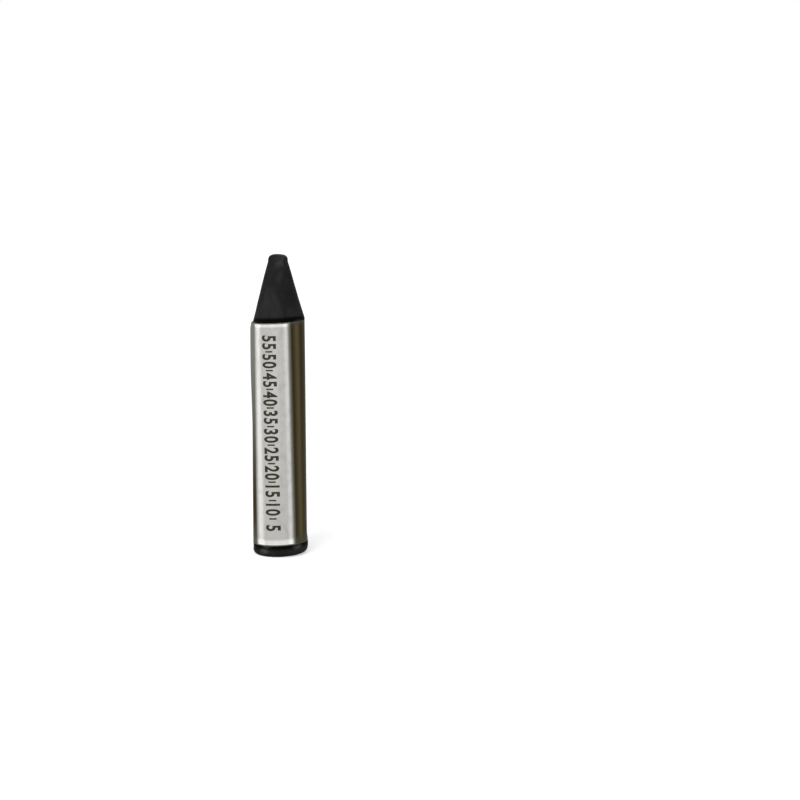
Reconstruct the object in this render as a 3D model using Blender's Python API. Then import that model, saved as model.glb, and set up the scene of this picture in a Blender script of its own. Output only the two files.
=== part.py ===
"""Wax filler stick: a cast wax crayon with a blunt cone, in a lapped paper wrap with a silver panel.

The stick stands on its heel, with its axis on +Z. The silver panel faces -Y, and angles round the
stick are measured from there, positive towards +X.
"""

import math

import bmesh
import bpy

MM = 0.001
FULL_TURN = 2 * math.pi

# Wax stick
STICK_LENGTH = 81.0 * MM
HEEL_DIAMETER = 14.8 * MM
HEEL_HEIGHT = 3.05 * MM
HEEL_EDGE_RADIUS = 1.3 * MM
HEEL_LIP_RADIUS = 0.3 * MM
HEEL_LEDGE = 0.51 * MM
DRAFT_ANGLE = math.radians(0.22)
POINT_LENGTH = 17.65 * MM
SHOULDER_LEDGE = 0.3 * MM
SHOULDER_EDGE_RADIUS = 0.15 * MM
NOSE_DIAMETER = 5.4 * MM
NOSE_HEIGHT = 2.0 * MM
NOSE_BLUNTNESS = 1.5

# Paper wrap
HEEL_GAP = 0.25 * MM
SHOULDER_GAP = 0.25 * MM
PAPER_THICKNESS = 0.18 * MM
LAP_WIDTH = 5.0 * MM
LAP_RISE_WIDTH = 1.2 * MM
LAP_ANGLE = math.radians(-63.0)

# Glue in the lap
GLUE_THICKNESS = 0.12 * MM
GLUE_MARGIN = 0.4 * MM

# Silver panel
PANEL_WIDTH = 11.0 * MM
PANEL_THICKNESS = 0.05 * MM
PANEL_MARGIN = 0.3 * MM

# Clearances
WRAP_CLEARANCE = 0.03 * MM
FILM_CLEARANCE = 0.03 * MM

# Facets
TURN_STEPS = 96
ARC_STEPS = 6
DOME_STEPS = 8
RISE_STEPS = 4
SAME_POINT = 1e-7
SHARP_ANGLE = math.radians(30.0)

# Sizes that follow from those above
HEEL_RADIUS = HEEL_DIAMETER / 2
BARREL_RADIUS = HEEL_RADIUS - HEEL_LEDGE
SHOULDER_HEIGHT = STICK_LENGTH - POINT_LENGTH
WRAP_BOTTOM = HEEL_HEIGHT + HEEL_GAP
WRAP_TOP = SHOULDER_HEIGHT - SHOULDER_GAP
LAP_LIFT = PAPER_THICKNESS + GLUE_THICKNESS + 2 * FILM_CLEARANCE
LAP_TURN = LAP_WIDTH / BARREL_RADIUS
RISE_TURN = LAP_RISE_WIDTH / BARREL_RADIUS


def barrel_radius(height):
    """Radius of the drafted barrel, which is widest where it stands on the heel."""
    return BARREL_RADIUS - (height - HEEL_HEIGHT) * math.tan(DRAFT_ANGLE)


def rounded_corner(before, corner, after, radius):
    """Arc that rounds one corner of an outline, from the side before it to the side after it."""
    first = math.atan2(before[1] - corner[1], before[0] - corner[0])
    second = math.atan2(after[1] - corner[1], after[0] - corner[0])
    opening = math.remainder(second - first, FULL_TURN)
    middle = first + opening / 2
    reach = radius / math.sin(abs(opening) / 2)
    centre_x = corner[0] + reach * math.cos(middle)
    centre_y = corner[1] + reach * math.sin(middle)
    sweep = math.copysign(math.pi, opening) - opening
    arc = []
    for step in range(ARC_STEPS + 1):
        angle = middle + math.pi + sweep * (0.5 - step / ARC_STEPS)
        arc.append((centre_x + radius * math.cos(angle), centre_y + radius * math.sin(angle)))
    return arc


def wax_outline():
    """Half outline of the wax as (radius, height), from the middle of the heel to the top of the nose."""
    heel_middle = (0.0, 0.0)
    heel_corner = (HEEL_RADIUS, 0.0)
    heel_lip = (HEEL_RADIUS, HEEL_HEIGHT)
    barrel_foot = (BARREL_RADIUS, HEEL_HEIGHT)
    barrel_top = (barrel_radius(SHOULDER_HEIGHT), SHOULDER_HEIGHT)
    shoulder = (barrel_top[0] + SHOULDER_LEDGE, SHOULDER_HEIGHT)
    nose_rim = (NOSE_DIAMETER / 2, STICK_LENGTH - NOSE_HEIGHT)
    outline = [heel_middle]
    outline += rounded_corner(heel_middle, heel_corner, heel_lip, HEEL_EDGE_RADIUS)
    outline += rounded_corner(heel_corner, heel_lip, barrel_foot, HEEL_LIP_RADIUS)
    outline += [barrel_foot, barrel_top]
    outline += rounded_corner(barrel_top, shoulder, nose_rim, SHOULDER_EDGE_RADIUS)
    for step in range(DOME_STEPS + 1):
        angle = math.pi / 2 * step / DOME_STEPS
        inward = math.cos(angle) ** (1 / NOSE_BLUNTNESS)
        upward = math.sin(angle) ** (1 / NOSE_BLUNTNESS)
        outline.append((nose_rim[0] * inward, nose_rim[1] + NOSE_HEIGHT * upward))
    return outline


def wrap_stand_off(winding):
    """Gap from the barrel to the paper's inner face: it rises to the lap just before one full turn."""
    share = min(max((winding - FULL_TURN) / RISE_TURN + 1, 0.0), 1.0)
    smooth_share = share * share * (3 - 2 * share)
    return WRAP_CLEARANCE + LAP_LIFT * smooth_share


def on_paper_stand_off(winding):
    """Gap from the barrel to the inner face of a film that lies on the paper."""
    return wrap_stand_off(winding) + PAPER_THICKNESS + FILM_CLEARANCE


def winding_stops(start, end):
    """Angles along the winding from start to end, closer together where the paper rises to the lap."""
    rise_start = FULL_TURN - RISE_TURN
    bends = [bend for bend in (rise_start, FULL_TURN) if start < bend < end]
    edges = [start, *bends, end]
    stops = [start]
    for low, high in zip(edges, edges[1:]):
        rising = rise_start <= low < FULL_TURN
        widest = RISE_TURN / RISE_STEPS if rising else FULL_TURN / TURN_STEPS
        count = max(1, round((high - low) / widest))
        stops += [low + (high - low) * step / count for step in range(1, count + 1)]
    return stops


def add_piece(name, builder, material, parent=None):
    """Turn a mesh builder into a named, smooth-shaded object with one material."""
    bmesh.ops.recalc_face_normals(builder, faces=builder.faces)
    mesh = bpy.data.meshes.new(name)
    builder.to_mesh(mesh)
    builder.free()
    mesh.shade_smooth()
    mesh.set_sharp_from_angle(angle=SHARP_ANGLE)
    mesh.materials.append(material)
    piece = bpy.data.objects.new(name, mesh)
    piece.parent = parent
    bpy.context.scene.collection.objects.link(piece)
    return piece


def turned_solid(outline):
    """Spin a half outline round the upright axis into a closed solid."""
    builder = bmesh.new()
    corners = [builder.verts.new((radius, 0.0, height)) for radius, height in outline]
    sides = [builder.edges.new(pair) for pair in zip(corners, corners[1:])]
    bmesh.ops.spin(
        builder,
        geom=corners + sides,
        cent=(0.0, 0.0, 0.0),
        axis=(0.0, 0.0, 1.0),
        angle=FULL_TURN,
        steps=TURN_STEPS,
        use_merge=True,
    )
    bmesh.ops.remove_doubles(builder, verts=builder.verts, dist=SAME_POINT)
    return builder


def wound_sheet(start, end, stand_off, thickness, bottom, top):
    """Wind a flat sheet round the drafted barrel, as a closed loft of its cross-sections along the turn."""
    builder = bmesh.new()
    sections = []
    for winding in winding_stops(start, end):
        angle = LAP_ANGLE - winding
        section = []
        for height, depth in ((bottom, 0.0), (bottom, thickness), (top, thickness), (top, 0.0)):
            radius = barrel_radius(height) + stand_off(winding) + depth
            section.append(builder.verts.new((radius * math.sin(angle), -radius * math.cos(angle), height)))
        sections.append(section)
    for section, following in zip(sections, sections[1:]):
        for side in range(len(section)):
            builder.faces.new((section[side - 1], section[side], following[side], following[side - 1]))
    builder.faces.new(sections[0])
    builder.faces.new(sections[-1])
    return builder


def surface_finish(name, colour, roughness, metallic=0.0):
    """One plain material."""
    material = bpy.data.materials.new(name)
    material.use_nodes = True
    shader = material.node_tree.nodes["Principled BSDF"]
    shader.inputs["Base Color"].default_value = (*colour, 1.0)
    shader.inputs["Roughness"].default_value = roughness
    shader.inputs["Metallic"].default_value = metallic
    return material


def add_wax_stick():
    """The casting: wider heel, drafted barrel in a recess for the wrap, shoulder, blunt cone and nose."""
    wax = surface_finish("dark_wax", (0.021, 0.020, 0.020), 0.48)
    return add_piece("wax_stick", turned_solid(wax_outline()), wax)


def add_paper_wrap(wax_stick):
    """One sheet, wound a little more than a full turn, that rises over its first edge and laps it."""
    sheet = wound_sheet(0.0, FULL_TURN + LAP_TURN, wrap_stand_off, PAPER_THICKNESS, WRAP_BOTTOM, WRAP_TOP)
    paper = surface_finish("brown_paper", (0.062, 0.046, 0.022), 0.42)
    return add_piece("paper_wrap", sheet, paper, wax_stick)


def add_seam_glue(paper_wrap):
    """The line of dried glue between the two layers of the lap."""
    margin_turn = GLUE_MARGIN / BARREL_RADIUS
    line = wound_sheet(
        margin_turn,
        LAP_TURN - margin_turn,
        on_paper_stand_off,
        GLUE_THICKNESS,
        WRAP_BOTTOM + GLUE_MARGIN,
        WRAP_TOP - GLUE_MARGIN,
    )
    glue = surface_finish("dried_glue", (0.55, 0.49, 0.36), 0.35)
    return add_piece("seam_glue", line, glue, paper_wrap)


def add_silver_panel(paper_wrap):
    """The bright strip down the front of the wrap."""
    middle = LAP_ANGLE % FULL_TURN
    half_turn = PANEL_WIDTH / BARREL_RADIUS / 2
    strip = wound_sheet(
        middle - half_turn,
        middle + half_turn,
        on_paper_stand_off,
        PANEL_THICKNESS,
        WRAP_BOTTOM + PANEL_MARGIN,
        WRAP_TOP - PANEL_MARGIN,
    )
    silver = surface_finish("silver_foil", (0.60, 0.60, 0.60), 0.38, 0.75)
    return add_piece("silver_panel", strip, silver, paper_wrap)


def build_filler_stick():
    """Clear the scene and build the pieces from the inside out."""
    for old_object in list(bpy.data.objects):
        bpy.data.objects.remove(old_object)
    wax_stick = add_wax_stick()
    paper_wrap = add_paper_wrap(wax_stick)
    add_seam_glue(paper_wrap)
    add_silver_panel(paper_wrap)


build_filler_stick()
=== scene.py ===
"""Looks of the wax filler stick: cast wax, a lapped paper wrap, its silver panel and a plain printed scale.

Angles round the stick are measured from the front, -Y, and are positive towards +X. Lengths are in metres.
"""

import logging
import math
import random
from dataclasses import dataclass
from enum import Enum
from typing import Callable

import bmesh
import bpy
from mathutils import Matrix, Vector, geometry, noise


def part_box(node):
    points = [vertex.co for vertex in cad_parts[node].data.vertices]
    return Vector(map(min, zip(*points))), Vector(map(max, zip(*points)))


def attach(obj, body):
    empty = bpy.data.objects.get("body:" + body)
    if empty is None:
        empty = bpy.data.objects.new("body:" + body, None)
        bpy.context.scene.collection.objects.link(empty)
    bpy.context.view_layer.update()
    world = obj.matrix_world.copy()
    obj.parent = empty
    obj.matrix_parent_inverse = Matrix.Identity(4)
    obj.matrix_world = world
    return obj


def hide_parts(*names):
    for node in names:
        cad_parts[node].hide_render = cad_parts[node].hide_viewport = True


MM = 0.001
FULL_TURN = 2 * math.pi
PANEL_WIDTH = 11.0 * MM
SHARP_ANGLE = math.radians(35.0)
SAME_POINT = 1e-6

# How far the wrap reaches into the two gaps that its solid keeps
HEEL_SEAT = 0.15 * MM
SHOULDER_SEAT = 0.10 * MM

Range = tuple[float, float]
Point = tuple[float, float]
Stops = tuple[Point, ...]
Triple = tuple[float, float, float]
Colour = tuple[float, float, float]
Socket = bpy.types.NodeSocket
Value = Socket | float | Triple
StandOff = Callable[[float, float], float]

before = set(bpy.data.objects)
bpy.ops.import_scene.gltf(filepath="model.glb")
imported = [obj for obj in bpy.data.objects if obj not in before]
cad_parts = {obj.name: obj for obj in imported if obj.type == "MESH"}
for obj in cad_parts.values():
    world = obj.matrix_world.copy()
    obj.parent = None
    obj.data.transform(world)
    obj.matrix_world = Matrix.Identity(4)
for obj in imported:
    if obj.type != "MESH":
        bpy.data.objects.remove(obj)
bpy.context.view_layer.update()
LOG = logging.getLogger("filler_stick")


def smooth_share(value: float, low: float, high: float) -> float:
    """Smooth step from 0 at low to 1 at high.

    Args:
        value: Where to read the step.
        low: Value with share 0.
        high: Value with share 1.

    Returns:
        The share, from 0 to 1.
    """
    share = min(max((value - low) / (high - low), 0.0), 1.0)
    return share * share * (3 - 2 * share)


def even_steps(start: float, end: float, widest: float) -> list[float]:
    """Evenly spaced values from start to end, both included.

    Args:
        start: First value.
        end: Last value.
        widest: Largest step between neighbours.

    Returns:
        The values in order.
    """
    count = max(1, math.ceil(abs(end - start) / widest))
    return [start + (end - start) * step / count for step in range(count + 1)]


def turns_round(place: Vector, outline: list[tuple[Vector, Vector]]) -> int:
    """Count how often an outline runs round a place.

    Args:
        place: The place.
        outline: Sides of the outline, each from its first to its second end.

    Returns:
        Clockwise turns, less those the other way.
    """
    turns = 0
    for first, second in outline:
        if (first.y <= place.y) != (second.y <= place.y):
            share = (place.y - first.y) / (second.y - first.y)
            if first.x + (second.x - first.x) * share > place.x:
                turns += 1 if first.y > second.y else -1
    return turns


@dataclass(frozen=True)
class Barrel:
    """The drafted wax barrel that the films are wound on."""

    length: float
    heel_height: float = 3.05 * MM
    foot_radius: float = 6.89 * MM
    draft: float = math.tan(math.radians(0.22))

    def radius(self, height: float) -> float:
        """Radius of the barrel, which is widest where it stands on the heel."""
        return self.foot_radius - (height - self.heel_height) * self.draft


@dataclass(frozen=True)
class Winding:
    """How the films lie on the barrel: wound a little askew, so their sides lean and their ends tilt."""

    barrel: Barrel
    bottom: float
    top: float
    lean: float = 0.0172
    tilt: float = 0.36 * MM

    def turn(self, width: float) -> float:
        """Angle that a width covers round the barrel."""
        return width / self.barrel.foot_radius

    def twist(self) -> float:
        """Angle that the films turn by for each metre up the stick."""
        return self.turn(self.lean)

    def middle(self) -> float:
        """Height at which the films are neither turned left nor right."""
        return (self.bottom + self.top) / 2

    def point(self, angle: float, height: float, stand_off: float) -> Vector:
        """A point off the barrel.

        Args:
            angle: Angle round the stick, as on films wound straight.
            height: Height above the heel, as on films wound straight.
            stand_off: Distance out from the barrel.

        Returns:
            The point.
        """
        reach = self.barrel.radius(height) + stand_off
        turned = angle - self.twist() * (height - self.middle())
        raised = height + self.tilt * math.sin(angle)
        return Vector((reach * math.sin(turned), -reach * math.cos(turned), raised))


class Sum(Enum):
    """Arithmetic that a material's nodes do."""

    PLUS = "ADD"
    LESS = "SUBTRACT"
    TIMES = "MULTIPLY"
    LARGER = "MAXIMUM"
    SMALLER = "MINIMUM"
    SIZE = "ABSOLUTE"
    BELOW = "LESS_THAN"
    SINE = "SINE"
    ANGLE = "ARCTAN2"


class Fade(Enum):
    """How a mapped value runs between its two ends."""

    SMOOTH = "SMOOTHSTEP"
    EVEN = "LINEAR"


class Mixing(Enum):
    """How one colour lies on another."""

    COVER = "MIX"
    TINT = "MULTIPLY"


@dataclass(frozen=True)
class Grain:
    """A noise pattern, and the two noise values between which its patches fade in.

    The cycles are for each metre along X, Y and Z, detail counts octaves of finer noise, and bend is how
    far the pattern is distorted.
    """

    cycles: Triple
    detail: float = 3.0
    bend: float = 0.0
    low: float = 0.0
    high: float = 1.0


class NodeBench:
    """Lays out shader nodes in one node tree."""

    def __init__(self, owner: bpy.types.Material | bpy.types.World) -> None:
        """Switch on the nodes of the material or world that owns the tree."""
        owner.use_nodes = True
        self.tree = owner.node_tree

    def join(self, socket: Socket, value: Value) -> None:
        """Link an output to an input, or set the input's own value.

        Args:
            socket: The input.
            value: An output socket, a number or a colour.
        """
        if isinstance(value, bpy.types.NodeSocket):
            self.tree.links.new(value, socket)
        elif isinstance(value, tuple) and len(socket.default_value) == 4:
            socket.default_value = (*value, 1.0)
        else:
            socket.default_value = value

    def node(self, kind: str, inputs: dict[str | int, Value], **settings: str) -> bpy.types.Node:
        """Add one node.

        Args:
            kind: Kind of node, such as Math.
            inputs: Values of its inputs, by name or number.
            settings: Values of its own settings.

        Returns:
            The node.
        """
        node = self.tree.nodes.new("ShaderNode" + kind)
        for name, setting in settings.items():
            setattr(node, name, setting)
        for name, value in inputs.items():
            self.join(node.inputs[name], value)
        return node

    def reckon(self, kind: Sum, first: Value, second: Value = 0.0) -> Socket:
        """One arithmetic step on one value or two."""
        return self.node("Math", {0: first, 1: second}, operation=kind.value).outputs[0]

    def spread(
        self,
        value: Socket,
        low: float,
        high: float,
        to_low: float = 0.0,
        to_high: float = 1.0,
        fade: Fade = Fade.SMOOTH,
    ) -> Socket:
        """Map a value between low and high to a new range.

        Args:
            value: The value to map.
            low: Value that maps to to_low.
            high: Value that maps to to_high.
            to_low: Lower end of the result.
            to_high: Upper end of the result.
            fade: How it runs between the ends.

        Returns:
            The mapped value.
        """
        inputs = {"Value": value, "From Min": low, "From Max": high, "To Min": to_low, "To Max": to_high}
        return self.node("MapRange", inputs, interpolation_type=fade.value).outputs["Result"]

    def both_ends(self, height: Socket, low: Range, high: Range, shares: Range = (1.0, 1.0)) -> Socket:
        """Share that is full at the two ends of a film and fades out between them.

        Args:
            height: Height on the film.
            low: Heights at which the lower end's share is full and gone.
            high: Heights at which the upper end's share starts and is full.
            shares: The full shares at the lower and the upper end.

        Returns:
            The share.
        """
        above = self.spread(height, *low, shares[0], 0.0)
        below = self.spread(height, *high, 0.0, shares[1])
        return self.reckon(Sum.PLUS, above, below)

    def blend(self, share: Value, first: Value, second: Value, way: Mixing = Mixing.COVER) -> Socket:
        """Mix two colours.

        Args:
            share: How much of the second colour shows.
            first: Colour at share 0.
            second: Colour at share 1.
            way: How the second colour lies on the first.

        Returns:
            The mixed colour.
        """
        inputs = {0: share, 6: first, 7: second}
        return self.node("Mix", inputs, data_type="RGBA", blend_type=way.value).outputs[2]

    def ramp(self, value: Socket, stops: Stops) -> Socket:
        """Read a value off a curve that runs smoothly from stop to stop.

        Args:
            value: Where to read, from 0 to 1.
            stops: Places from 0 to 1 in order, each with the value there.

        Returns:
            The value read, the same in all three channels.
        """
        node = self.node("ValToRGB", {"Fac": value})
        node.color_ramp.interpolation = "EASE"
        elements = node.color_ramp.elements
        while len(elements) < len(stops):
            elements.new(1.0)
        for element, (place, tone) in zip(elements, stops):
            element.position = place
            element.color = (tone, tone, tone, 1.0)
        return node.outputs["Color"]

    def seen(self) -> Socket:
        """Tell what is seen straight, mirrored or through glass from what only light reaches.

        Returns:
            1 for rays of sight, and 0 for other rays.
        """
        rays = self.node("LightPath", {}).outputs
        mirrored = self.reckon(Sum.LARGER, rays["Is Camera Ray"], rays["Is Glossy Ray"])
        return self.reckon(Sum.LARGER, mirrored, rays["Is Transmission Ray"])


class FinishBench(NodeBench):
    """Lays out the nodes of one material, in the object's own coordinates."""

    def __init__(self, name: str) -> None:
        """Start a material with a Principled shader and object coordinates.

        Args:
            name: Name of the material.
        """
        self.material = bpy.data.materials.new(name)
        super().__init__(self.material)
        self.shader = self.tree.nodes["Principled BSDF"]
        self.place = self.node("TexCoord", {}).outputs["Object"]

    def set(self, **inputs: Value) -> None:
        """Join values to the shader's inputs.

        Args:
            inputs: Values by the inputs' names, in lower case with underscores.
        """
        names = {socket.name.lower().replace(" ", "_"): socket for socket in self.shader.inputs}
        for name, value in inputs.items():
            self.join(names[name], value)

    def stretched(self, scale: Triple) -> Socket:
        """Object coordinates multiplied by a scale for each axis."""
        return self.node("Mapping", {"Vector": self.place, "Scale": scale}).outputs["Vector"]

    def grain(self, pattern: Grain) -> Socket:
        """Lay out a noise pattern.

        Args:
            pattern: The pattern.

        Returns:
            Noise from 0 to 1.
        """
        inputs = {"Vector": self.stretched(pattern.cycles), "Scale": 1.0}
        inputs |= {"Detail": pattern.detail, "Distortion": pattern.bend}
        return self.node("TexNoise", inputs).outputs["Fac"]

    def patches(self, pattern: Grain, to_low: float = 0.0, to_high: float = 1.0) -> Socket:
        """A noise pattern's patches, from to_low outside them to to_high inside."""
        return self.spread(self.grain(pattern), pattern.low, pattern.high, to_low, to_high)

    def smear(self, spot: Triple, reach: float, flatness: float) -> Socket:
        """A flat smear round a spot.

        Args:
            spot: Middle of the smear.
            reach: How far it reaches sideways.
            flatness: How many times less it reaches up and down.

        Returns:
            Share from 1 at the spot to 0 at the smear's edge.
        """
        flat_spot = (spot[0], spot[1], spot[2] * flatness)
        inputs = {0: self.stretched((1.0, 1.0, flatness)), 1: flat_spot}
        away = self.node("VectorMath", inputs, operation="DISTANCE").outputs["Value"]
        return self.spread(away, 0.0, reach, 1.0, 0.0)

    def axes(self) -> bpy.types.bpy_prop_collection:
        """The three coordinates, by name."""
        return self.node("SeparateXYZ", {"Vector": self.place}).outputs

    def height(self) -> Socket:
        """Height above the heel."""
        return self.axes()["Z"]

    def turn(self) -> Socket:
        """Angle round the stick."""
        axes = self.axes()
        return self.reckon(Sum.ANGLE, axes["X"], self.reckon(Sum.TIMES, axes["Y"], -1.0))

    def level(self, tilt: float) -> Socket:
        """Height above the heel, as on something that doesn't tilt up to the right."""
        rise = self.reckon(Sum.TIMES, self.reckon(Sum.SINE, self.turn()), tilt)
        return self.reckon(Sum.LESS, self.height(), rise)

    def sheet_turn(self, winding: Winding) -> Socket:
        """Angle round the stick as on films wound straight."""
        above_middle = self.reckon(Sum.LESS, self.height(), winding.middle())
        return self.reckon(Sum.PLUS, self.turn(), self.reckon(Sum.TIMES, above_middle, winding.twist()))

    def bump(self, height: Socket, depth: float, over: Socket | None = None) -> Socket:
        """A bumped normal.

        Args:
            height: Height from 0 to 1.
            depth: Real depth of the bump.
            over: Normal that this bump lies over, if it lies over one.

        Returns:
            The normal.
        """
        inputs = {"Distance": depth, "Height": height}
        if over is not None:
            inputs["Normal"] = over
        return self.node("Bump", inputs).outputs["Normal"]


@dataclass(frozen=True)
class WaxFinish:
    """Pigmented hard wax: near black, with pale bloom and rubbed patches, a paler nose that is partly rubbed
    wax and partly a painted highlight, painted highlights on the heel and beside the shoulder, and painted
    shade in rings beside the wrap.
    """

    heel_height: float
    shoulder_height: float
    nose_height: float
    tilt: float
    deep: Colour = (0.0148, 0.0145, 0.0152)
    bloomed: Colour = (0.0265, 0.0262, 0.0273)
    # Colour of rubbed wax, also used for the painted highlight on the nose
    rubbed: Colour = (0.0600, 0.0595, 0.0590)
    # Colour of the painted highlights
    scuffed: Colour = (0.0950, 0.0940, 0.0920)
    # Colour of the painted shade beside the wrap's edges
    soiled: Colour = (0.0020, 0.0019, 0.0018)
    bloom: Grain = Grain((230, 230, 150), detail=6.0, bend=0.6, low=0.36, high=0.70)
    rubs: Grain = Grain((520, 520, 1900), detail=4.0, bend=1.2, low=0.66, high=0.78)
    nose_rubs: Grain = Grain((330, 330, 330), low=0.42, high=0.66)
    pores: Grain = Grain((5200, 5200, 5200), detail=2.0, low=0.25, high=0.65)
    drag: Grain = Grain((1500, 1500, 70), detail=2.0, low=0.30, high=0.70)
    # Middles of the painted highlights on the heel and beside the shoulder
    scuffs: tuple[Triple, ...] = (
        (-2.3 * MM, -7.0 * MM, 1.6 * MM),
        (-1.6 * MM, -7.2 * MM, 3.35 * MM),
        (6.3 * MM, -3.9 * MM, 2.7 * MM),
        (-6.8 * MM, -2.9 * MM, 1.9 * MM),
        (6.4 * MM, -2.6 * MM, 63.2 * MM),
    )
    scuff_reach: float = 2.4 * MM
    scuff_flatness: float = 2.2
    ring_full: float = 0.7 * MM
    ring_reach: float = 1.7 * MM
    nose_rub_reach: float = 4.0 * MM
    nose_rub_full: float = 0.4 * MM
    smoothest: float = 0.46
    roughest: float = 0.62
    pore_depth: float = 0.008 * MM
    drag_depth: float = 0.010 * MM
    ior: float = 1.43
    gloss_level: float = 0.015

    def material(self) -> bpy.types.Material:
        """Lay out the wax's nodes.

        Returns:
            The material.
        """
        bench = FinishBench("cast_wax")
        colour = bench.blend(bench.patches(self.bloom), self.deep, self.bloomed)
        colour = bench.blend(bench.patches(self.rubs), colour, self.rubbed)
        # Paler nose: partly rubbed wax, partly a painted highlight
        colour = bench.blend(self.rubbed_nose(bench), colour, self.rubbed)
        # Painted shade in rings beside the wrap's two edges
        colour = bench.blend(self.rings(bench), colour, self.soiled)
        speckle = bench.patches(self.pores)
        # Painted highlights: pale smears, flecked by the pores
        for spot in self.scuffs:
            smear = bench.smear(spot, self.scuff_reach, self.scuff_flatness)
            colour = bench.blend(bench.reckon(Sum.TIMES, smear, speckle), colour, self.scuffed)
        rough = bench.patches(self.drag, self.smoothest, self.roughest)
        pitted = bench.bump(bench.grain(self.pores), self.pore_depth)
        normal = bench.bump(bench.grain(self.drag), self.drag_depth, pitted)
        bench.set(base_color=colour, roughness=rough, normal=normal)
        bench.set(ior=self.ior, specular_ior_level=self.gloss_level)
        return bench.material

    def rubbed_nose(self, bench: FinishBench) -> Socket:
        """Pale wax, patchy over the nose: partly rubbed wax and partly a painted highlight.

        Args:
            bench: The bench of the wax's material.

        Returns:
            Share of the pale wax and painted highlight.
        """
        start, full = self.nose_height - self.nose_rub_reach, self.nose_height - self.nose_rub_full
        near_nose = bench.spread(bench.height(), start, full)
        return bench.reckon(Sum.TIMES, near_nose, bench.patches(self.nose_rubs))

    def rings(self, bench: FinishBench) -> Socket:
        """Painted shade in dark rings on the wax just beside the wrap's two edges.

        Args:
            bench: The bench of the wax's material.

        Returns:
            Share of the painted shade.
        """
        height = bench.level(self.tilt)
        base, lip = self.shoulder_height, self.heel_height
        on_cone = bench.spread(height, base + self.ring_full, base + self.ring_reach, 1.0, 0.0)
        on_heel = bench.spread(height, lip - self.ring_reach, lip - self.ring_full / 2)
        return bench.reckon(Sum.SMALLER, on_cone, on_heel)


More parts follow.
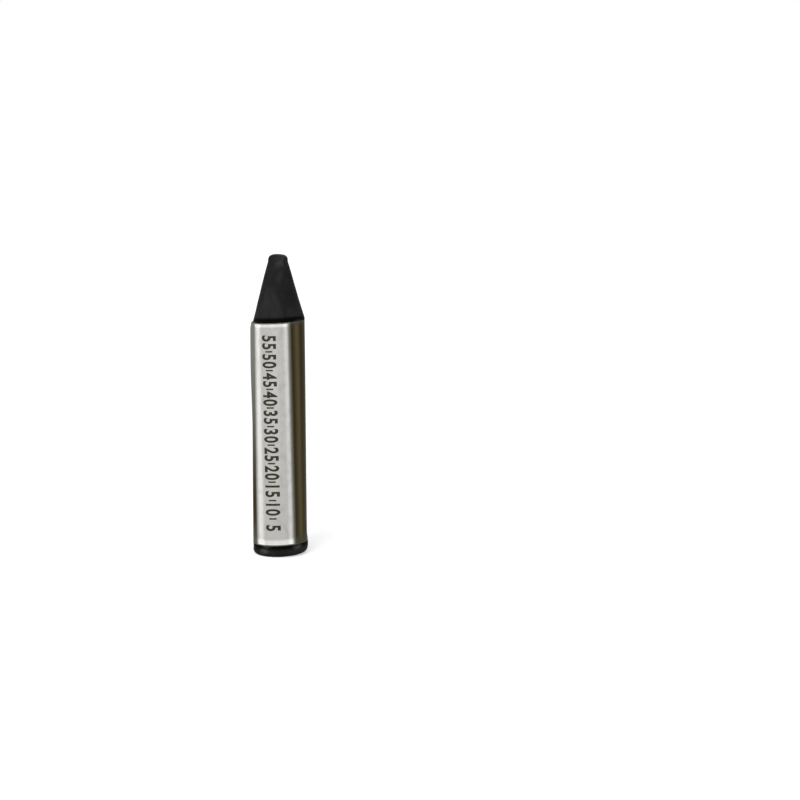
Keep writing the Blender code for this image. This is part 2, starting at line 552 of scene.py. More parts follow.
@dataclass(frozen=True)
class PaperFinish:
    """Printed label paper: dark olive brown with a paler line painted in as a lamp's reflection, varnished,
    a paler ridge of rubbed print and painted sheen, and worn along its cut edges.
    """

    winding: Winding
    panel_width: float
    ridge_angle: float
    print_dark: Colour = (0.036, 0.0267, 0.0088)
    print_light: Colour = (0.045, 0.0345, 0.0130)
    # Colour of the painted reflection line
    line_colour: Colour = (0.112, 0.086, 0.0440)
    beside_panel: Colour = (0.190, 0.186, 0.150)
    # Colour of the paper's ridge: rubbed print and painted sheen
    rubbed: Colour = (0.225, 0.220, 0.200)
    greyed: Colour = (0.074, 0.072, 0.048)
    worn: Colour = (0.120, 0.114, 0.085)
    mottle: Grain = Grain((420, 420, 24), detail=4.0, bend=0.2, low=0.30, high=0.70)
    fibre: Grain = Grain((3200, 3200, 1400), low=0.25, high=0.75)
    chips: Grain = Grain((900, 900, 900), detail=4.0, low=0.40, high=0.66)
    line_angle: float = math.radians(66.5)
    line_half: float = math.radians(13.0)
    beside_width: float = 0.8 * MM
    rub_width: float = 2.8 * MM
    rub_low: float = 12.0 * MM
    rub_high: float = 58.0 * MM
    rub_share: float = 0.85
    foot_full: float = 1.0 * MM
    foot_reach: float = 8.0 * MM
    foot_share: float = 0.26
    hem_full: float = 1.0 * MM
    hem_reach: float = 2.8 * MM
    top_hem_reach: float = 1.6 * MM
    hem_shares: Range = (0.75, 0.55)
    wear_reach: float = 0.55 * MM
    smoothest: float = 0.34
    roughest: float = 0.48
    fibre_depth: float = 0.006 * MM
    gloss_level: float = 0.02

    def material(self) -> bpy.types.Material:
        """Lay out the printed face's nodes.

        Returns:
            The material.
        """
        bench = FinishBench("printed_paper")
        turn = bench.sheet_turn(self.winding)
        colour = bench.blend(bench.patches(self.mottle), self.print_dark, self.print_light)
        # Painted reflection: a paler line down the brown print where a lamp's reflection falls
        away = bench.reckon(Sum.SIZE, bench.reckon(Sum.LESS, turn, self.line_angle))
        colour = bench.blend(bench.spread(away, 0.0, self.line_half, 1.0, 0.0), colour, self.line_colour)
        colour = bench.blend(self.greyed_hems(bench), colour, self.greyed)
        # Paler ridge beside the lap: partly rubbed print, partly painted sheen
        colour = bench.blend(self.rubbed_ridge(bench, turn), colour, self.rubbed)
        edge = self.winding.turn(self.panel_width / 2)
        side = bench.reckon(Sum.SIZE, turn)
        fading = bench.spread(side, edge, edge + self.winding.turn(self.beside_width), 1.0, 0.0)
        colour = bench.blend(fading, colour, self.beside_panel)
        colour = bench.blend(self.worn_edges(bench), colour, self.worn)
        rough = bench.patches(self.fibre, self.smoothest, self.roughest)
        bench.set(base_color=colour, roughness=rough, specular_ior_level=self.gloss_level)
        bench.set(normal=bench.bump(bench.grain(self.fibre), self.fibre_depth))
        return bench.material

    def rubbed_ridge(self, bench: FinishBench, turn: Socket) -> Socket:
        """Paler print along the ridge where the flap rises over the first edge, more towards its ends:
        partly print rubbed off and partly painted sheen.

        Args:
            bench: The bench of the paper's material.
            turn: Angle round the stick as on films wound straight.

        Returns:
            Share of rubbed print and painted sheen.
        """
        reach = self.winding.turn(self.rub_width)
        ridge = bench.spread(turn, self.ridge_angle - reach, self.ridge_angle - reach / 4)
        left = bench.reckon(Sum.TIMES, ridge, bench.reckon(Sum.BELOW, turn, 0.0))
        foot = self.winding.bottom
        ends = bench.both_ends(
            bench.height(),
            (foot + self.foot_full, foot + self.foot_reach),
            (self.rub_low, self.rub_high),
            (self.foot_share, self.rub_share),
        )
        return bench.reckon(Sum.TIMES, left, ends)

    def greyed_hems(self, bench: FinishBench) -> Socket:
        """Paler, greyer colour beside the two cut edges, more at the bottom.

        Args:
            bench: The bench of the paper's material.

        Returns:
            Share of the greyer colour.
        """
        low, high = self.winding.bottom, self.winding.top
        bottom_hem = (low + self.hem_full, low + self.hem_reach)
        top_hem = (high - self.top_hem_reach, high)
        return bench.both_ends(bench.level(self.winding.tilt), bottom_hem, top_hem, self.hem_shares)

    def worn_edges(self, bench: FinishBench) -> Socket:
        """Worn print, in chips along the two cut edges.

        Args:
            bench: The bench of the paper's material.

        Returns:
            Share of worn print.
        """
        low, high, reach = self.winding.bottom, self.winding.top, self.wear_reach
        edges = bench.both_ends(bench.level(self.winding.tilt), (low, low + reach), (high - reach, high))
        return bench.reckon(Sum.TIMES, edges, bench.patches(self.chips))


@dataclass(frozen=True)
class FoilFinish:
    """Silver foil: a dull field in a brighter frame that fades out at the sides, brushed lengthwise; the
    frame down the two sides is partly print and partly a painted highlight.
    """

    winding: Winding
    margin: float
    width: float
    edge_tones: Range = (0.24, 0.18)
    # Tones of the frame, partly print and partly a painted highlight
    frame_tones: Range = (0.67, 0.555)
    field_tone: float = 0.415
    left_frame: Range = (1.5 * MM, 1.85 * MM)
    field_sides: Range = (3.4 * MM, 9.1 * MM)
    right_frame: Range = (10.0 * MM, 10.2 * MM)
    bright: Colour = (1.0, 0.984, 0.940)
    clouded: Colour = (0.89, 0.875, 0.845)
    brush: Grain = Grain((5200, 5200, 120), detail=2.0, low=0.30, high=0.70)
    clouds: Grain = Grain((640, 640, 420), detail=4.0, low=0.45, high=0.72)
    wrinkles: Grain = Grain((620, 620, 260), detail=2.0, bend=0.5)
    top_height: float = 1.0 * MM
    bottom_height: float = 1.7 * MM
    ends_lift: float = 0.55
    brightest: float = 0.80
    smoothest: float = 0.26
    roughest: float = 0.36
    cloud_roughness: float = 0.08
    brush_depth: float = 0.003 * MM
    wrinkle_depth: float = 0.010 * MM
    metal: float = 0.85

    def material(self) -> bpy.types.Material:
        """Lay out the foil's nodes.

        Returns:
            The material.
        """
        bench = FinishBench("silver_foil")
        half = self.winding.turn(self.width / 2)
        across = bench.spread(bench.sheet_turn(self.winding), -half, half, fade=Fade.EVEN)
        # Painted highlight: the tones brighten the frame down the sides, as a lamp's reflection would
        tone = bench.reckon(Sum.TIMES, bench.ramp(across, self.tones()), self.lifted_ends(bench))
        tone = bench.reckon(Sum.SMALLER, tone, self.brightest)
        clouds = bench.patches(self.clouds)
        colour = bench.blend(1.0, tone, bench.blend(clouds, self.bright, self.clouded), Mixing.TINT)
        rough = bench.patches(self.brush, self.smoothest, self.roughest)
        rough = bench.reckon(Sum.PLUS, rough, bench.reckon(Sum.TIMES, clouds, self.cloud_roughness))
        wrinkled = bench.bump(bench.grain(self.wrinkles), self.wrinkle_depth)
        normal = bench.bump(bench.grain(self.brush), self.brush_depth, wrinkled)
        bench.set(base_color=colour, roughness=rough, normal=normal, metallic=self.metal)
        return bench.material

    def tones(self) -> Stops:
        """Tones across the panel: dark edges, the bright frame inside them, which is partly print and partly
        a painted highlight, and the dull field between.

        Returns:
            Places from the left edge, as shares of the width, each with its tone.
        """
        dark_left, dark_right = self.edge_tones
        bright_left, bright_right = self.frame_tones
        dull = self.field_tone
        places = (0.0, *self.left_frame, *self.field_sides, *self.right_frame, self.width)
        tones = (dark_left, bright_left, bright_left, dull, dull, bright_right, bright_right, dark_right)
        return tuple((place / self.width, tone) for place, tone in zip(places, tones))

    def lifted_ends(self, bench: FinishBench) -> Socket:
        """Factor that brightens the frame along the panel's two ends.

        Args:
            bench: The bench of the foil's material.

        Returns:
            The factor.
        """
        low, high = self.winding.bottom + self.margin, self.winding.top - self.margin
        ends = bench.both_ends(
            bench.level(self.winding.tilt),
            (low + self.bottom_height / 2, low + self.bottom_height),
            (high - self.top_height, high - self.top_height / 2),
            (self.ends_lift, self.ends_lift),
        )
        return bench.reckon(Sum.PLUS, ends, 1.0)


@dataclass(frozen=True)
class PatchyFinish:
    """A plain finish in one tone, with small patches of another."""

    name: str
    main: Colour
    patchy: Colour
    grain: Grain
    roughness: float
    gloss_level: float = 0.5

    def material(self) -> bpy.types.Material:
        """Lay out the finish's nodes.

        Returns:
            The material.
        """
        bench = FinishBench(self.name)
        bench.set(base_color=bench.blend(bench.patches(self.grain), self.main, self.patchy))
        bench.set(roughness=self.roughness, specular_ior_level=self.gloss_level)
        return bench.material


# Pale core of the paper along its cut edges, stained in places
CUT_PAPER = PatchyFinish(
    name="cut_paper",
    main=(0.30, 0.285, 0.235),
    patchy=(0.13, 0.115, 0.085),
    grain=Grain((800, 800, 800), detail=4.0, low=0.40, high=0.62),
    roughness=0.9,
)

# Dried paper glue, amber and thicker in places
DRIED_GLUE = PatchyFinish(
    name="dried_glue",
    main=(0.55, 0.49, 0.36),
    patchy=(0.42, 0.34, 0.20),
    grain=Grain((600, 600, 200), low=0.35, high=0.65),
    roughness=0.3,
)

# Dark printing ink, a little thin in places
PRINTING_INK = PatchyFinish(
    name="printing_ink",
    main=(0.020, 0.0185, 0.0075),
    patchy=(0.055, 0.0515, 0.034),
    grain=Grain((1500, 1500, 1500), detail=4.0, low=0.52, high=0.75),
    roughness=0.45,
    gloss_level=0.2,
)


@dataclass(frozen=True)
class FloorFinish:
    """Pale studio floor that shows as white but keeps the stick's shadow."""

    pale: Colour = (0.86, 0.86, 0.86)
    white: Colour = (1.0, 1.0, 1.0)
    near_lift: float = 0.50
    far_lift: float = 0.72
    near: float = 0.15
    far: float = 0.60
    roughness: float = 0.9

    def material(self) -> bpy.types.Material:
        """Lay out the floor's nodes, lifted to white where it is seen or mirrored.

        Returns:
            The material.
        """
        bench = FinishBench("pale_floor")
        away = bench.node("VectorMath", {0: bench.place}, operation="LENGTH").outputs["Value"]
        lift = bench.spread(away, self.near, self.far, self.near_lift, self.far_lift)
        bench.set(base_color=self.pale, roughness=self.roughness, specular_ior_level=0.0)
        bench.set(emission_color=self.white, emission_strength=bench.reckon(Sum.TIMES, bench.seen(), lift))
        return bench.material


@dataclass(frozen=True)
class BentSheet:
    """A thin sheet bent round the barrel, with an inner face, an outer face and cut edges."""

    winding: Winding
    angles: list[float]
    heights: list[float]
    thickness: float
    stand_off: StandOff

    def add_to(self, builder: bmesh.types.BMesh) -> None:
        """Add the sheet to a mesh builder, with material 1 on its cut edges.

        Args:
            builder: The mesh builder.
        """
        inner = self.skin(builder, 0.0)
        outer = self.skin(builder, self.thickness)
        last_column, last_row = len(self.angles) - 1, len(self.heights) - 1
        for column in range(last_column):
            for row in range(last_row):
                for face in (inner, outer):
                    builder.faces.new((
                        face[column][row],
                        face[column + 1][row],
                        face[column + 1][row + 1],
                        face[column][row + 1],
                    ))
        border = [(column, 0) for column in range(last_column)]
        border += [(last_column, row) for row in range(last_row)]
        border += [(column, last_row) for column in range(last_column, 0, -1)]
        border += [(0, row) for row in range(last_row, 0, -1)]
        for (column, row), (next_column, next_row) in zip(border, border[1:] + border[:1]):
            edge = builder.faces.new((
                inner[column][row],
                inner[next_column][next_row],
                outer[next_column][next_row],
                outer[column][row],
            ))
            edge.material_index = 1

    def skin(self, builder: bmesh.types.BMesh, depth: float) -> list[list[bmesh.types.BMVert]]:
        """Points of one face of the sheet.

        Args:
            builder: The mesh builder.
            depth: Distance out from the inner face.

        Returns:
            Points by column, then by row.
        """
        return [
            [
                builder.verts.new(self.winding.point(angle, height, self.stand_off(angle, height) + depth))
                for height in self.heights
            ]
            for angle in self.angles
        ]


def add_piece(
    name: str,
    builder: bmesh.types.BMesh,
    materials: list[bpy.types.Material],
    slot: str,
    *replaced: str,
) -> None:
    """slot: Not used. Finish slot in the record.
        replaced: Solids that the piece stands for.
    """
    bmesh.ops.recalc_face_normals(builder, faces=builder.faces)
    mesh = bpy.data.meshes.new(name)
    builder.to_mesh(mesh)
    builder.free()
    mesh.shade_smooth()
    mesh.set_sharp_from_angle(angle=SHARP_ANGLE)
    for material in materials:
        mesh.materials.append(material)
    piece = bpy.data.objects.new(name, mesh)
    bpy.context.scene.collection.objects.link(piece)
    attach(piece, "root")
    if replaced:
        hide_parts(*replaced)
    LOG.info("%s: %d faces", name, len(mesh.polygons))


@dataclass(frozen=True)
class Lumps:
    """Soft lumps of one size and depth all over a surface."""

    size: float
    depth: float
    shift: Triple = (0.0, 0.0, 0.0)

    def at(self, place: Vector) -> float:
        """How far a place stands out."""
        return noise.noise(place / self.size + Vector(self.shift)) * self.depth


@dataclass(frozen=True)
class Nick:
    """One small dent."""

    spot: Vector
    width: float
    depth: float
    reach: float = 3.0

    def at(self, place: Vector) -> float:
        """How deep a place is dented."""
        widths_away = (place - self.spot).length / self.width
        return self.depth * math.exp(-(widths_away**2)) if widths_away < self.reach else 0.0


@dataclass
class WaxStick:
    """The casting: wider heel, drafted barrel in a recess for the wrap, shoulder, blunt cone and nose."""

    barrel: Barrel
    wrap_bottom: float
    wrap_top: float
    heel_radius: float = 7.4 * MM
    heel_edge_radius: float = 1.3 * MM
    heel_lip_radius: float = 0.3 * MM
    shoulder_gap: float = 0.25 * MM
    shoulder_ledge: float = 0.3 * MM
    shoulder_edge_radius: float = 0.15 * MM
    nose_radius: float = 2.7 * MM
    nose_height: float = 2.0 * MM
    nose_bluntness: float = 1.5
    worn_side: float = math.radians(105.0)
    heel_wear: float = 0.32 * MM
    heel_wear_heights: Range = (0.2 * MM, 2.2 * MM)
    far_side_share: float = 0.35
    nose_wear: float = 0.06 * MM
    nose_wear_width: float = 1.6 * MM
    point_lean: float = 0.14 * MM
    recess_tilt: float = 0.32 * MM
    tilt_start: float = 1.0 * MM
    tilt_fade: float = 6.0 * MM
    broad_lumps: Lumps = Lumps(6.0 * MM, 0.035 * MM)
    small_lumps: Lumps = Lumps(1.6 * MM, 0.010 * MM)
    nose_lumps: Lumps = Lumps(2.6 * MM, 0.11 * MM, (4.0, 7.0, 1.0))
    nose_lumps_reach: float = 3.0 * MM
    cone_lumps_start: float = 0.4 * MM
    nick_count: int = 26
    heel_nick_every: int = 3
    heel_nick_heights: Range = (0.4 * MM, 1.2 * MM)
    heel_nick_inset: float = 0.2 * MM
    nick_widths: Range = (0.3 * MM, 0.8 * MM)
    nick_depths: Range = (0.02 * MM, 0.07 * MM)
    turn_steps: int = 224
    arc_steps: int = 10
    ring_step: float = 0.28 * MM
    hidden_step: float = 6.0 * MM
    hidden_margin: float = 1.0 * MM
    seed: int = 11

    def shoulder(self) -> Point:
        """Radius and height of the shoulder's edge, where the cone starts."""
        height = self.wrap_top + self.shoulder_gap
        return self.barrel.radius(height) + self.shoulder_ledge, height

    def nose_rim(self) -> Point:
        """Radius and height of the edge where the cone ends in the nose."""
        return self.nose_radius, self.barrel.length - self.nose_height

    def build(self) -> None:
        """Turn the outline round the stick's axis, then roughen the casting."""
        builder = bmesh.new()
        (_, bottom), *outline, (_, top) = self.outline()
        heel_middle = builder.verts.new((0.0, 0.0, bottom))
        nose_top = builder.verts.new((0.0, 0.0, top))
        rings = [self.ring(builder, reach, height) for reach, height in outline]
        for step in range(self.turn_steps):
            builder.faces.new((heel_middle, rings[0][step], rings[0][step - 1]))
            builder.faces.new((nose_top, rings[-1][step - 1], rings[-1][step]))
            for lower, upper in zip(rings, rings[1:]):
                builder.faces.new((lower[step - 1], lower[step], upper[step], upper[step - 1]))
        bmesh.ops.recalc_face_normals(builder, faces=builder.faces)
        builder.normal_update()
        self.roughen(builder)
        finish = WaxFinish(self.barrel.heel_height, self.shoulder()[1], self.barrel.length, self.recess_tilt)
        add_piece("wax_casting", builder, [finish.material()], "wax", "wax_stick")

    def ring(self, builder: bmesh.types.BMesh, reach: float, height: float) -> list[bmesh.types.BMVert]:
        """One ring of points round the stick's axis, evenly spaced.

        Args:
            builder: The mesh builder.
            reach: Radius of the ring.
            height: Height above the heel.

        Returns:
            The points in order.
        """
        points = []
        for step in range(self.turn_steps):
            turn = FULL_TURN * step / self.turn_steps
            points.append(builder.verts.new((reach * math.cos(turn), reach * math.sin(turn), height)))
        return points

    def outline(self) -> list[Point]:
        """Half outline from the middle of the heel to the top of the nose, with close points where it shows.

        Returns:
            Points as radius and height.
        """
        corners = self.corners()
        points = corners[:1]
        for (reach, height), (next_reach, next_height) in zip(corners, corners[1:]):
            hidden = self.wrap_bottom < height and next_height < self.wrap_top
            widest = self.hidden_step if hidden else self.ring_step
            length = math.hypot(next_reach - reach, next_height - height)
            for share in even_steps(0.0, 1.0, widest / max(length, widest))[1:]:
                point = (reach + (next_reach - reach) * share, height + (next_height - height) * share)
                points.append(point)
        return points

    def corners(self) -> list[Point]:
        """Corners and arcs of the half outline.

        Returns:
            Points as radius and height.
        """
        heel_middle = (0.0, 0.0)
        heel_corner = (self.heel_radius, 0.0)
        heel_lip = (self.heel_radius, self.barrel.heel_height)
        barrel_foot = (self.barrel.foot_radius, self.barrel.heel_height)
        shoulder, nose_rim = self.shoulder(), self.nose_rim()
        hidden_foot, hidden_top = self.wrap_bottom + self.hidden_margin, self.wrap_top - self.hidden_margin
        corners = [heel_middle]
        corners += self.rounded(heel_middle, heel_corner, heel_lip, self.heel_edge_radius)
        corners += self.rounded(heel_corner, heel_lip, barrel_foot, self.heel_lip_radius)
        corners += [barrel_foot]
        for height in (hidden_foot, hidden_top, shoulder[1]):
            corners.append((self.barrel.radius(height), height))
        corners += self.rounded(corners[-1], shoulder, nose_rim, self.shoulder_edge_radius)
        for angle in even_steps(0.0, math.pi / 2, math.pi / 2 / self.arc_steps):
            inward = math.cos(angle) ** (1 / self.nose_bluntness)
            upward = math.sin(angle) ** (1 / self.nose_bluntness)
            corners.append((nose_rim[0] * inward, nose_rim[1] + self.nose_height * upward))
        return corners

    def rounded(self, before: Point, corner: Point, after: Point, radius: float) -> list[Point]:
        """Arc that rounds one corner of the outline.

        Args:
            before: Point before the corner.
            corner: The sharp corner.
            after: Point after the corner.
            radius: Radius of the arc.

        Returns:
            Points along the arc.
        """
        first = math.atan2(before[1] - corner[1], before[0] - corner[0])
        second = math.atan2(after[1] - corner[1], after[0] - corner[0])
        opening = math.remainder(second - first, FULL_TURN)
        middle = first + opening / 2
        reach = radius / math.sin(abs(opening) / 2)
        centre = (corner[0] + reach * math.cos(middle), corner[1] + reach * math.sin(middle))
        sweep = math.copysign(math.pi, opening) - opening
        start, end = middle + math.pi + sweep / 2, middle + math.pi - sweep / 2
        arc = []
        for angle in even_steps(start, end, abs(sweep) / self.arc_steps):
            arc.append((centre[0] + radius * math.cos(angle), centre[1] + radius * math.sin(angle)))
        return arc

    def roughen(self, builder: bmesh.types.BMesh) -> None:
        """Give the casting its lumps, nicks and wear, its leaning point and its slightly askew recess.

        Args:
            builder: The smooth casting.
        """
        nicks = self.nicks()
        shoulder_height = self.shoulder()[1]
        worn_way = Vector((math.sin(self.worn_side), -math.cos(self.worn_side), 0.0))
        for corner in builder.verts:
            place = corner.co.copy()
            turn = math.atan2(place.x, -place.y)
            bare = 1.0 - smooth_share(place.z, self.barrel.heel_height, self.wrap_bottom)
            bare += smooth_share(place.z, self.wrap_top, self.wrap_top + self.cone_lumps_start)
            depth = sum(nick.at(place) for nick in nicks)
            corner.co += corner.normal * (bare * (self.lumps(place) - depth - self.worn_heel(turn, place.z)))
            leaning = smooth_share(place.z, self.wrap_top, self.barrel.length)
            corner.co -= worn_way * self.point_lean * leaning
            askew = smooth_share(place.z, self.tilt_start, self.barrel.heel_height)
            askew -= smooth_share(place.z, shoulder_height, shoulder_height + self.tilt_fade)
            corner.co.z += self.recess_tilt * askew * math.sin(turn)
            corner.co.z = max(corner.co.z, 0.0)

    def lumps(self, place: Vector) -> float:
        """How far the wax stands out at a place, with larger lumps at the nose."""
        at_nose = smooth_share(place.z, self.barrel.length - self.nose_lumps_reach, self.barrel.length)
        return self.broad_lumps.at(place) + self.small_lumps.at(place) + self.nose_lumps.at(place) * at_nose

    def worn_heel(self, turn: float, height: float) -> float:
        """Depth worn off the heel on its worn side, below 0 on the far side, which stands out a little.

        Args:
            turn: Angle round the stick.
            height: Height above the heel.

        Returns:
            The depth.
        """
        at_heel = 1.0 - smooth_share(height, *self.heel_wear_heights)
        worn_share = 0.5 + 0.5 * math.cos(turn - self.worn_side)
        return self.heel_wear * at_heel * (worn_share**2 - self.far_side_share * (1.0 - worn_share) ** 2)

    def nicks(self) -> list[Nick]:
        """Small dents along the heel and the cone, and the worn corners of the nose.

        Returns:
            The dents.
        """
        draw = random.Random(self.seed)
        (base_radius, base_height), (rim_radius, rim_height) = self.shoulder(), self.nose_rim()
        found = []
        for number in range(self.nick_count):
            angle = draw.uniform(0.0, FULL_TURN)
            if number % self.heel_nick_every == 0:
                height = draw.uniform(*self.heel_nick_heights)
                reach = self.heel_radius - self.heel_nick_inset
            else:
                share = draw.uniform(0.0, 1.0)
                height = base_height + (rim_height - base_height) * share
                reach = base_radius + (rim_radius - base_radius) * share
            spot = Vector((reach * math.sin(angle), -reach * math.cos(angle), height))
            found.append(Nick(spot, draw.uniform(*self.nick_widths), draw.uniform(*self.nick_depths)))
        for side in (self.worn_side, self.worn_side + math.pi):
            corner = Vector((math.sin(side), -math.cos(side), 0.0)) * rim_radius
            corner.z = rim_height + self.nose_height / 2
            found.append(Nick(corner, self.nose_wear_width, self.nose_wear))
        return found


@dataclass
class PaperWrap:
    """One sheet of printed paper, wound a little more than a full turn and lapped over its first edge."""

    winding: Winding
    panel_width: float
    clearance: float = 0.03 * MM
    thickness: float = 0.18 * MM
    lap_angle: float = math.radians(-63.0)
    lap_width: float = 5.0 * MM
    lap_rise_width: float = 1.2 * MM
    lap_gap: float = 0.18 * MM
    ripple_depth: float = 0.035 * MM
    ripple_length: float = 14.0 * MM
    ripples_round: float = 2.2
    corner_lift: float = 0.42 * MM
    corner_full: float = 10.0 * MM
    corner_reach: float = 29.0 * MM
    corner_tuck: float = 0.65
    tuck_reach: float = 1.6 * MM
    hem_flare: float = 0.20 * MM
    hem_reach: float = 2.2 * MM
    hem_side: float = math.radians(100.0)
    column_step: float = math.radians(1.6)
    row_step: float = 0.6 * MM

    def build(self) -> None:
        """Wind the sheet."""
        rise_turn = self.winding.turn(self.lap_rise_width)
        lap_turn = self.winding.turn(self.lap_width)
        turns = even_steps(0.0, FULL_TURN - rise_turn, self.column_step)
        turns += even_steps(FULL_TURN - rise_turn, FULL_TURN + lap_turn, self.column_step / 2)[1:]
        builder = bmesh.new()
        BentSheet(
            self.winding,
            [self.lap_angle - turn for turn in turns],
            even_steps(self.winding.bottom, self.winding.top, self.row_step),
            self.thickness,
            self.inner_stand_off,
        ).add_to(builder)
        paper = PaperFinish(self.winding, self.panel_width, self.lap_angle)
        finishes = [paper.material(), CUT_PAPER.material()]
        add_piece("printed_wrap", builder, finishes, "wrap_paper", "paper_wrap")

    def inner_stand_off(self, angle: float, height: float) -> float:
        """Gap from the barrel to the paper's inner face.

        Args:
            angle: Angle round the stick, unwound past a full turn in the lap.
            height: Height above the heel.

        Returns:
            The gap.
        """
        rise_turn = self.winding.turn(self.lap_rise_width)
        lapped = smooth_share(self.lap_angle - angle, FULL_TURN - rise_turn, FULL_TURN)
        below_top = self.winding.top - height
        lift = self.corner_lift * (1.0 - smooth_share(below_top, self.corner_full, self.corner_reach))
        lift *= 1.0 - self.corner_tuck * (1.0 - smooth_share(below_top, 0.0, self.tuck_reach))
        near_hem = 1.0 - smooth_share(height - self.winding.bottom, 0.0, self.hem_reach)
        flare = self.hem_flare * near_hem * max(math.cos(angle - self.hem_side), 0.0)
        lap = lapped * (self.thickness + self.lap_gap + lift)
        return self.clearance + self.ripple(angle, height) + flare + lap

    def outer_stand_off(self, angle: float, height: float) -> float:
        """Gap from the barrel to the paper's outer face."""
        return self.inner_stand_off(angle, height) + self.thickness

    def ripple(self, angle: float, height: float) -> float:
        """Slight waviness of the wound paper, always outwards.

        Args:
            angle: Angle round the stick.
            height: Height above the heel.

        Returns:
            How far the paper stands out.
        """
        across, along = math.sin(angle) * self.ripples_round, math.cos(angle) * self.ripples_round
        wave = noise.noise(Vector((across, along, height / self.ripple_length)))
        return self.ripple_depth * (0.5 + 0.5 * wave)


@dataclass
class SeamGlue:
    """The line of dried glue inside the lap."""

    wrap: PaperWrap
    thickness: float = 0.12 * MM
    film_gap: float = 0.03 * MM
    margin: float = 0.4 * MM
    row_step: float = 2.4 * MM

    def build(self) -> None:
        """Lay the glue on the wrap's first edge."""
        winding = self.wrap.winding
        margin_turn = winding.turn(self.margin)
        lap_turn = winding.turn(self.wrap.lap_width)
        first = self.wrap.lap_angle - margin_turn
        last = self.wrap.lap_angle - lap_turn + margin_turn
        builder = bmesh.new()
        BentSheet(
            winding,
            even_steps(first, last, self.wrap.column_step),
            even_steps(winding.bottom + self.margin, winding.top - self.margin, self.row_step),
            self.thickness,
            self.stand_off,
        ).add_to(builder)
        glue = DRIED_GLUE.material()
        add_piece("glue_line", builder, [glue, glue], "glue", "seam_glue")

    def stand_off(self, angle: float, height: float) -> float:
        """Gap from the barrel to the glue's inner face."""
        return self.wrap.outer_stand_off(angle, height) + self.film_gap


@dataclass
class SilverPanel:
    """The bright strip down the front of the wrap."""

    wrap: PaperWrap
    thickness: float = 0.05 * MM
    film_gap: float = 0.03 * MM
    margin: float = 0.3 * MM
    wrinkle_depth: float = 0.010 * MM
    wrinkle_length: float = 3.5 * MM
    wrinkles_round: float = 5.0
    wrinkle_shift: float = 3.0
    column_step: float = math.radians(1.0)
    row_step: float = 0.4 * MM

    def build(self) -> None:
        """Lay the foil on the wrap."""
        winding = self.wrap.winding
        half_turn = winding.turn(self.wrap.panel_width / 2)
        builder = bmesh.new()
        BentSheet(
            winding,
            even_steps(-half_turn, half_turn, self.column_step),
            even_steps(winding.bottom + self.margin, winding.top - self.margin, self.row_step),
            self.thickness,
            self.inner_stand_off,
        ).add_to(builder)
        foil = FoilFinish(winding, self.margin, self.wrap.panel_width).material()
        add_piece("foil_panel", builder, [foil, foil], "silver_foil", "silver_panel")

    def inner_stand_off(self, angle: float, height: float) -> float:
        """Gap from the barrel to the foil's inner face, just above the paper and slightly wrinkled.

        Args:
            angle: Angle round the stick.
            height: Height above the heel.

        Returns:
            The gap.
        """
        unwound = self.wrap.lap_angle - (self.wrap.lap_angle - angle) % FULL_TURN
        place = Vector((angle * self.wrinkles_round, self.wrinkle_shift, height / self.wrinkle_length))
        wrinkle = self.wrinkle_depth * (0.5 + 0.5 * noise.noise(place))
        return self.wrap.outer_stand_off(unwound, height) + self.film_gap + wrinkle

    def outer_stand_off(self, angle: float, height: float) -> float:
        """Gap from the barrel to the foil's outer face."""
        return self.inner_stand_off(angle, height) + self.thickness


class Mark(Enum):
    """Marks of the printed scale, with their lengths across the panel."""

    TICK = 2.0 * MM
    NUMERAL = 4.0 * MM


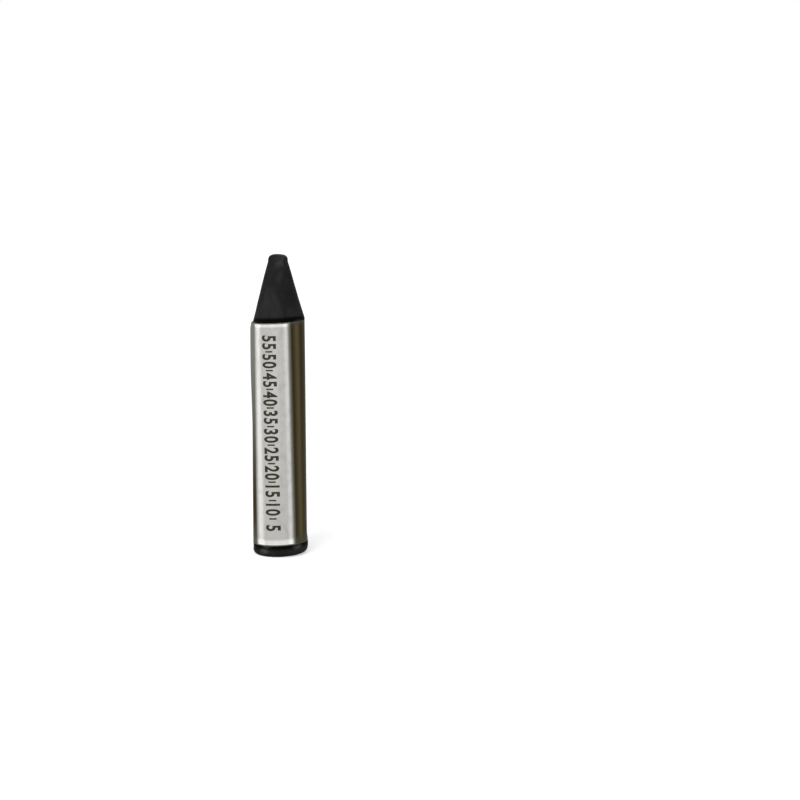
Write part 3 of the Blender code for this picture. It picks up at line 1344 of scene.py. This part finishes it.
@dataclass
class PrintedScale:
    """A plain millimetre scale printed down the panel, with a numeral every five."""

    panel: SilverPanel
    middle_angle: float = math.radians(-0.5)
    step: float = 5.0 * MM
    numeral_count: int = 11
    tick_width: float = 0.40 * MM
    narrowing: float = 0.68
    spacing: float = 1.16
    boldness: float = 0.030
    ink_gap: float = 0.004 * MM
    ink_thickness: float = 0.012 * MM
    slice_width: float = 0.2 * MM

    def build(self) -> None:
        """Print the numerals and the ticks between them."""
        builder = bmesh.new()
        for number in range(1, self.numeral_count + 1):
            height = self.panel.wrap.winding.bottom + number * self.step
            self.add_numeral(builder, str(round(number * self.step / MM)), height)
            if number > 1:
                self.add_tick(builder, height - self.step / 2)
        ink = PRINTING_INK.material()
        add_piece("printed_scale", builder, [ink, ink], "silver_foil")

    def stand_off(self, angle: float, height: float) -> float:
        """Gap from the barrel to the underside of the ink."""
        return self.panel.outer_stand_off(angle, height) + self.ink_gap

    def add_tick(self, builder: bmesh.types.BMesh, height: float) -> None:
        """Add one tick across the panel.

        Args:
            builder: The mesh builder.
            height: Height above the heel.
        """
        winding = self.panel.wrap.winding
        half_turn = winding.turn(Mark.TICK.value / 2)
        step = winding.turn(self.slice_width)
        BentSheet(
            winding,
            even_steps(self.middle_angle - half_turn, self.middle_angle + half_turn, step),
            [height - self.tick_width / 2, height + self.tick_width / 2],
            self.ink_thickness,
            self.stand_off,
        ).add_to(builder)

    def add_numeral(self, builder: bmesh.types.BMesh, digits: str, height: float) -> None:
        """Add one numeral that reads down the stick.

        Args:
            builder: The mesh builder.
            digits: The numeral.
            height: Height of its middle above the heel.
        """
        winding = self.panel.wrap.winding
        points, inked = self.inked_triangles(digits)
        lower, upper = {}, {}
        for corner in sorted({corner for triangle in inked for corner in triangle}):
            along, across = points[corner]
            angle = self.middle_angle + winding.turn(across)
            stand_off = self.stand_off(angle, height - along)
            for face, depth in ((lower, 0.0), (upper, self.ink_thickness)):
                face[corner] = builder.verts.new(winding.point(angle, height - along, stand_off + depth))
        for triangle in inked:
            for face in (lower, upper):
                builder.faces.new([face[corner] for corner in triangle])
        sides = [pair for triangle in inked for pair in zip(triangle, triangle[1:] + triangle[:1])]
        shared = set(sides)
        for first, second in sides:
            if (second, first) not in shared:
                builder.faces.new((lower[first], lower[second], upper[second], upper[first]))

    def inked_triangles(self, digits: str) -> tuple[list[Vector], list[list[int]]]:
        """A numeral as flat triangles, centred, and sliced so that it can be bent.

        Args:
            digits: The numeral.

        Returns:
            Points, with the numeral's height along Y, and the three points of each triangle.
        """
        points, sides = self.bold_outline(digits)
        outline = [(points[first], points[second]) for first, second in sides]
        half, reach = Mark.NUMERAL.value / 2, Mark.NUMERAL.value
        for level in even_steps(-half, half, self.slice_width)[1:-1]:
            sides.append((len(points), len(points) + 1))
            points += [Vector((-reach, level)), Vector((reach, level))]
        corners, _, triangles, *_ = geometry.delaunay_2d_cdt(points, sides, [], 0, SAME_POINT)
        inked = []
        for triangle in triangles:
            middle = sum((corners[corner] for corner in triangle), Vector((0.0, 0.0))) / len(triangle)
            if turns_round(middle, outline) > 0:
                inked.append(list(triangle))
        return corners, inked

    def bold_outline(self, digits: str) -> tuple[list[Vector], list[tuple[int, int]]]:
        """Outline of a numeral, thickened and brought to size.

        Args:
            digits: The numeral.

        Returns:
            Points, and the two points of each side of the outline, clockwise round the ink.
        """
        curve = bpy.data.curves.new("numeral", "FONT")
        curve.body = digits
        curve.fill_mode = "NONE"
        curve.extrude = self.ink_thickness
        curve.offset = self.boldness
        curve.space_character = self.spacing
        lettering = bpy.data.objects.new("numeral", curve)
        bpy.context.scene.collection.objects.link(lettering)
        mesh = bpy.data.meshes.new_from_object(lettering)
        rim = [corner.index for corner in mesh.vertices if corner.co.z < 0.0]
        order = {index: place for place, index in enumerate(rim)}
        corners = [mesh.vertices[index].co.copy() for index in rim]
        sides = []
        for edge in mesh.edges:
            if order.keys() >= set(edge.vertices):
                first, second = sorted(order[index] for index in edge.vertices)
                closing = second > first + 1
                sides.append((second, first) if closing else (first, second))
        bpy.data.objects.remove(lettering)
        bpy.data.curves.remove(curve)
        bpy.data.meshes.remove(mesh)
        lows = [min(corner[axis] for corner in corners) for axis in range(2)]
        highs = [max(corner[axis] for corner in corners) for axis in range(2)]
        scale = Mark.NUMERAL.value / (highs[1] - lows[1])
        points = []
        for corner in corners:
            along = (corner.x - (lows[0] + highs[0]) / 2) * scale * self.narrowing
            points.append(Vector((along, (corner.y - (lows[1] + highs[1]) / 2) * scale)))
        return points, sides


@dataclass(frozen=True)
class Softbox:
    """One large, soft studio lamp, with its angles in degrees and its power in watts."""

    name: str
    azimuth: float
    elevation: float
    distance: float
    width: float
    height: float
    power: float

    def build(self, target: Vector) -> None:
        """Hang the lamp and point it at the stick.

        Args:
            target: Point that the lamp faces.
        """
        lamp = bpy.data.lights.new(self.name, "AREA")
        lamp.shape = "RECTANGLE"
        lamp.size = self.width
        lamp.size_y = self.height
        lamp.energy = self.power
        holder = bpy.data.objects.new(self.name, lamp)
        turn, rise = math.radians(self.azimuth), math.radians(self.elevation)
        out = Vector((math.cos(rise) * math.sin(turn), -math.cos(rise) * math.cos(turn), math.sin(rise)))
        holder.location = target + out * self.distance
        holder.rotation_euler = (-out).to_track_quat("-Z", "Y").to_euler()
        holder.visible_camera = False
        bpy.context.scene.collection.objects.link(holder)
        LOG.info("%s: %.2f W", self.name, self.power)


@dataclass
class Studio:
    """Pale floor, soft lamps, white surroundings and the camera."""

    middle_height: float
    photo_azimuth: float = math.radians(19.5)
    photo_distance: float = 550.0 * MM
    photo_height: float = 124.4 * MM
    aim_right: float = 32.4 * MM
    aim_above: float = 1.0 * MM
    lens: float = 93.0
    nearest: float = 10.0 * MM
    floor_half: float = 3.0
    surroundings: float = 0.40
    white: Colour = (1.0, 1.0, 1.0)
    lamps: tuple[Softbox, ...] = (
        Softbox("key_lamp", azimuth=-8, elevation=35, distance=0.70, width=0.40, height=0.40, power=2.4),
        Softbox("strip_lamp", azimuth=-80, elevation=6, distance=0.50, width=0.12, height=0.50, power=0.12),
        Softbox("edge_lamp", azimuth=100, elevation=8, distance=0.45, width=0.07, height=0.40, power=0.07),
        Softbox("top_lamp", azimuth=10, elevation=72, distance=0.70, width=0.50, height=0.50, power=1.0),
    )

    def build(self) -> None:
        """Set up everything round the stick."""
        self.add_floor()
        self.add_surroundings()
        for lamp in self.lamps:
            lamp.build(Vector((0.0, 0.0, self.middle_height)))
        self.add_camera()
        bpy.context.scene.view_settings.view_transform = "Standard"

    def add_floor(self) -> None:
        """Lay the floor."""
        builder = bmesh.new()
        bmesh.ops.create_grid(builder, x_segments=1, y_segments=1, size=self.floor_half)
        mesh = bpy.data.meshes.new("floor")
        builder.to_mesh(mesh)
        builder.free()
        mesh.materials.append(FloorFinish().material())
        floor = bpy.data.objects.new("floor", mesh)
        bpy.context.scene.collection.objects.link(floor)

    def add_surroundings(self) -> None:
        """White all round where it is seen or mirrored, and softer light elsewhere."""
        world = bpy.data.worlds.new("studio")
        bench = NodeBench(world)
        background = bench.tree.nodes["Background"].inputs
        bench.join(background["Color"], self.white)
        bench.join(background["Strength"], bench.spread(bench.seen(), 0.0, 1.0, self.surroundings, 1.0))
        bpy.context.scene.world = world

    def add_camera(self) -> None:
        """Place the camera as in the photograph, aimed beside the stick."""
        camera = bpy.data.cameras.new("camera")
        camera.lens = self.lens
        camera.clip_start = self.nearest
        holder = bpy.data.objects.new("camera", camera)
        right = Vector((math.cos(self.photo_azimuth), math.sin(self.photo_azimuth), 0.0))
        towards = Vector((math.sin(self.photo_azimuth), -math.cos(self.photo_azimuth), 0.0))
        holder.location = towards * self.photo_distance + Vector((0.0, 0.0, self.photo_height))
        aim = right * self.aim_right + Vector((0.0, 0.0, self.middle_height + self.aim_above))
        holder.rotation_euler = (aim - holder.location).to_track_quat("-Z", "Y").to_euler()
        bpy.context.scene.collection.objects.link(holder)
        bpy.context.scene.camera = holder


def write_sizes() -> None:
    """Bring the view layer up to date."""
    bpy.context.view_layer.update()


def main() -> None:
    """Build the stick from the inside out, then the studio."""
    logging.basicConfig(level=logging.INFO, format="%(name)s %(message)s")
    _, wax_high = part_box("wax_stick")
    wrap_low, wrap_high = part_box("paper_wrap")
    barrel = Barrel(length=wax_high.z)
    WaxStick(barrel, wrap_low.z, wrap_high.z).build()
    winding = Winding(barrel, wrap_low.z - HEEL_SEAT, wrap_high.z + SHOULDER_SEAT)
    wrap = PaperWrap(winding, PANEL_WIDTH)
    wrap.build()
    SeamGlue(wrap).build()
    panel = SilverPanel(wrap)
    panel.build()
    PrintedScale(panel).build()
    Studio(middle_height=wax_high.z / 2).build()
    write_sizes()


if __name__ == "__main__":
    main()
